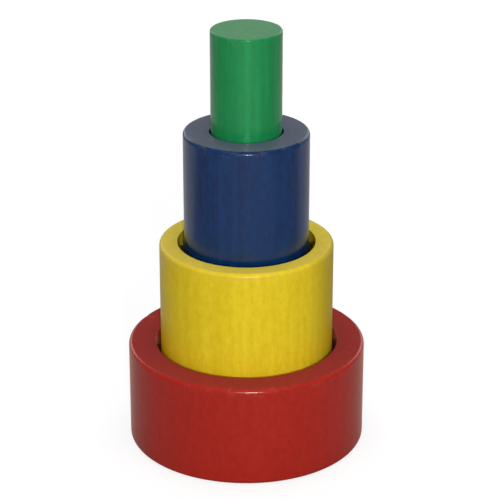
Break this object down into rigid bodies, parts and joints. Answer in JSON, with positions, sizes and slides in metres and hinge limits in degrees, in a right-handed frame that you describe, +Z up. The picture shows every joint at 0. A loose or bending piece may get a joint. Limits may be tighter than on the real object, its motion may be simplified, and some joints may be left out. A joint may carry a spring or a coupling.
{
  "type": "stacking ring toy",
  "caption": "Nesting and stacking ring toy: turned wooden tubes, each taller than the one around it, stand inside one another round a solid peg and lift out one by one.",
  "frame": {"origin": "centre of the base, on the surface that the four pieces stand on", "axes": "+Z up, along the common axis of the rings and the peg; X and Y lie in the surface and are alike, as every piece is round"},
  "size_m": [0.1002, 0.1, 0.18],
  "materials": {
    "red_lacquered_wood": "opaque red gloss lacquer over fine vertical beech grain",
    "yellow_lacquered_wood": "translucent yellow gloss lacquer, with beech grain and ray flecks showing through",
    "blue_lacquered_wood": "opaque dark blue gloss lacquer over fine vertical beech grain",
    "green_lacquered_wood": "opaque green gloss lacquer over fine vertical beech grain"
  },
  "bodies": {
    "red_body": {"red_ring": "red_lacquered_wood"},
    "yellow_body": {"yellow_ring": "yellow_lacquered_wood"},
    "blue_body": {"blue_ring": "blue_lacquered_wood"},
    "green_body": {"green_peg": "green_lacquered_wood"}
  },
  "joints": [
    {"name": "yellow_lift", "type": "slide", "parent": "red_body", "child": "yellow_body", "axis": [0, 0, 1], "range_m": [0, 0.19]},
    {"name": "blue_lift", "type": "slide", "parent": "red_body", "child": "blue_body", "axis": [0, 0, 1], "range_m": [0, 0.288]},
    {"name": "green_lift", "type": "slide", "parent": "red_body", "child": "green_body", "axis": [0, 0, 1], "range_m": [0, 0.435]}
  ]
}
